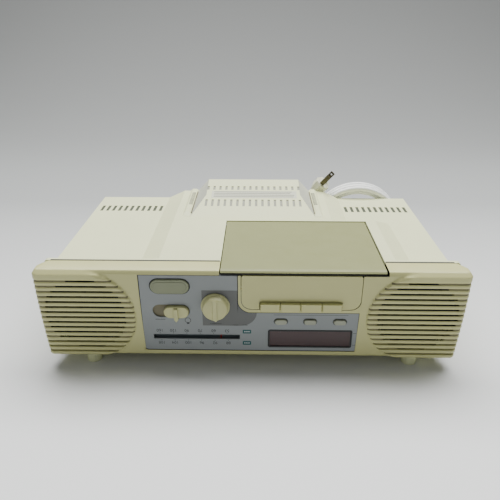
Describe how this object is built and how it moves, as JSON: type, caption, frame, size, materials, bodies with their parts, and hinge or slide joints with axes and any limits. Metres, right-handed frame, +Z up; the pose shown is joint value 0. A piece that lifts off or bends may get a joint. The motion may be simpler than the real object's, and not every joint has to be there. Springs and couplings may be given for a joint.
{
  "type": "clock radio",
  "caption": "Under-cabinet kitchen clock radio with stereo speakers, drop-down cassette door, keys, dial, display and mains cord, stored resting on its mounting spacers.",
  "frame": {"origin": "centre of the footprint, on the surface the four spacers stand on", "axes": "+X along the length, to the right as seen from the front; -Y is the front with the controls; +Z up as stored, which is down in use under a cabinet"},
  "size_m": [0.427, 0.3039, 0.1401],
  "materials": {
    "cream_plastic": "satin aged cream ABS, fine moulded texture",
    "ivory_plastic": "matte ivory polystyrene, fine moulded texture",
    "tan_plastic": "matte tan painted plastic",
    "panel_plastic": "satin blue-grey printed panel",
    "knob_plastic": "satin cream plastic",
    "button_plastic": "satin grey-green plastic",
    "black_plastic": "matte black plastic",
    "display_lens": "gloss dark red filter",
    "needle_red": "gloss red",
    "rubber": "soft black rubber",
    "speaker_paper": "pressed black paper",
    "steel": "zinc-plated steel",
    "circuit_board": "brown phenolic board with parts",
    "cord_plastic": "soft white-grey vinyl",
    "blade_brass": "tarnished brass"
  },
  "bodies": {
    "radio": {"front_bezel": "cream_plastic", "main_cabinet": "ivory_plastic", "mounting_cover": "ivory_plastic", "mounting_spacer_front_left": "ivory_plastic", "mounting_spacer_front_right": "ivory_plastic", "mounting_spacer_rear_left": "ivory_plastic", "mounting_spacer_rear_right": "ivory_plastic", "control_fascia": "panel_plastic", "display_module": "black_plastic", "dial_backplate": "black_plastic", "dial_cord": "black_plastic", "appliance_outlet": "black_plastic", "display_window": "display_lens", "drive_belt": "rubber", "speaker_cone_left": "speaker_paper", "speaker_cone_right": "speaker_paper", "cover_screw_front_left": "steel", "cover_screw_front_right": "steel", "cover_screw_rear_left": "steel", "cover_screw_rear_right": "steel", "door_hinge_pin": "steel", "deck_chassis": "steel", "drive_motor": "steel", "tape_head": "steel", "speaker_frame_left": "steel", "speaker_frame_right": "steel", "speaker_magnet_left": "steel", "speaker_magnet_right": "steel", "power_transformer": "steel", "main_circuit_board": "circuit_board", "cord_strain_relief": "cord_plastic", "power_cord_lead": "cord_plastic", "power_cord_coil": "cord_plastic", "power_cord_tail": "cord_plastic", "plug_body": "cord_plastic", "plug_blade_left": "blade_brass", "plug_blade_right": "blade_brass"},
    "cassette_door": {"cassette_door_plate": "tan_plastic", "cassette_door_flap": "cream_plastic", "cassette_holder": "black_plastic"},
    "stop_eject": {"stop_eject_key": "cream_plastic"},
    "fast_forward": {"fast_forward_key": "cream_plastic"},
    "rewind": {"rewind_key": "cream_plastic"},
    "play": {"play_key": "cream_plastic"},
    "snooze": {"snooze_button": "button_plastic"},
    "hour_set": {"hour_set_button": "button_plastic"},
    "minute_set": {"minute_set_button": "button_plastic"},
    "alarm_set": {"alarm_set_button": "button_plastic"},
    "mode_switch": {"mode_slider": "knob_plastic"},
    "knob": {"function_knob": "knob_plastic"},
    "tuning": {"tuning_wheel": "black_plastic"},
    "needle": {"dial_needle": "needle_red"},
    "volume": {"volume_wheel": "black_plastic"},
    "supply_reel": {"supply_spindle": "black_plastic"},
    "take_up_reel": {"take_up_spindle": "black_plastic"},
    "flywheel": {"capstan_flywheel": "steel"},
    "roller": {"pinch_roller": "rubber"},
    "pulley": {"motor_pulley": "steel"}
  },
  "joints": [
    {"name": "cassette_door_hinge", "type": "hinge", "parent": "radio", "child": "cassette_door", "pos_m": [0, 0.0116, 0.1084], "axis": [-1, 0, 0], "range_deg": [0, 28]},
    {"name": "stop_eject_press", "type": "slide", "parent": "radio", "child": "stop_eject", "axis": [0, 1, 0], "range_m": [0, 0.004], "stiffness_N_per_m": 300, "springref_m": -0.002},
    {"name": "fast_forward_press", "type": "slide", "parent": "radio", "child": "fast_forward", "axis": [0, 1, 0], "range_m": [0, 0.004], "stiffness_N_per_m": 300, "springref_m": -0.002},
    {"name": "rewind_press", "type": "slide", "parent": "radio", "child": "rewind", "axis": [0, 1, 0], "range_m": [0, 0.004], "stiffness_N_per_m": 300, "springref_m": -0.002},
    {"name": "play_press", "type": "slide", "parent": "radio", "child": "play", "axis": [0, 1, 0], "range_m": [0, 0.004], "stiffness_N_per_m": 300, "springref_m": -0.002},
    {"name": "snooze_press", "type": "slide", "parent": "radio", "child": "snooze", "axis": [0, 1, 0], "range_m": [0, 0.002], "stiffness_N_per_m": 250, "springref_m": -0.001},
    {"name": "hour_set_press", "type": "slide", "parent": "radio", "child": "hour_set", "axis": [0, 1, 0], "range_m": [0, 0.0015], "stiffness_N_per_m": 250, "springref_m": -0.001},
    {"name": "minute_set_press", "type": "slide", "parent": "radio", "child": "minute_set", "axis": [0, 1, 0], "range_m": [0, 0.0015], "stiffness_N_per_m": 250, "springref_m": -0.001},
    {"name": "alarm_set_press", "type": "slide", "parent": "radio", "child": "alarm_set", "axis": [0, 1, 0], "range_m": [0, 0.0015], "stiffness_N_per_m": 250, "springref_m": -0.001},
    {"name": "mode_switch_slide", "type": "slide", "parent": "radio", "child": "mode_switch", "axis": [1, 0, 0], "range_m": [-0.0115, 0]},
    {"name": "knob_turn", "type": "hinge", "parent": "radio", "child": "knob", "pos_m": [-0.0356, -0.113, 0.074], "axis": [0, -1, 0], "range_deg": [0, 75]},
    {"name": "tuning_turn", "type": "hinge", "parent": "radio", "child": "tuning", "pos_m": [-0.189, -0.063, 0.037], "axis": [0, 0, 1], "range_deg": [-445, 115]},
    {"name": "needle_slide", "type": "slide", "parent": "radio", "child": "needle", "axis": [1, 0, 0], "range_m": [-0.066, 0.017]},
    {"name": "volume_turn", "type": "hinge", "parent": "radio", "child": "volume", "pos_m": [0.189, -0.063, 0.037], "axis": [0, 0, 1], "range_deg": [0, 270]},
    {"name": "supply_spin", "type": "hinge", "parent": "radio", "child": "supply_reel", "pos_m": [0.0286, -0.0718, 0.09], "axis": [0, 0, 1], "continuous": true},
    {"name": "take_up_spin", "type": "hinge", "parent": "radio", "child": "take_up_reel", "pos_m": [0.0711, -0.0718, 0.09], "axis": [0, 0, 1], "continuous": true},
    {"name": "flywheel_spin", "type": "hinge", "parent": "radio", "child": "flywheel", "pos_m": [0.07085, -0.0435, 0.08], "axis": [0, 0, 1], "continuous": true},
    {"name": "roller_spin", "type": "hinge", "parent": "radio", "child": "roller", "pos_m": [0.07085, -0.0353, 0.09], "axis": [0, 0, 1], "continuous": true},
    {"name": "pulley_spin", "type": "hinge", "parent": "radio", "child": "pulley", "pos_m": [0.008, -0.039, 0.075], "axis": [0, 0, 1], "continuous": true}
  ],
  "couplings": [
    {"joint": "needle_slide", "follows": "tuning_turn", "m_per_rad": 0.0084},
    {"joint": "pulley_spin", "follows": "flywheel_spin", "ratio": 4.58},
    {"joint": "roller_spin", "follows": "flywheel_spin", "ratio": -0.234}
  ]
}
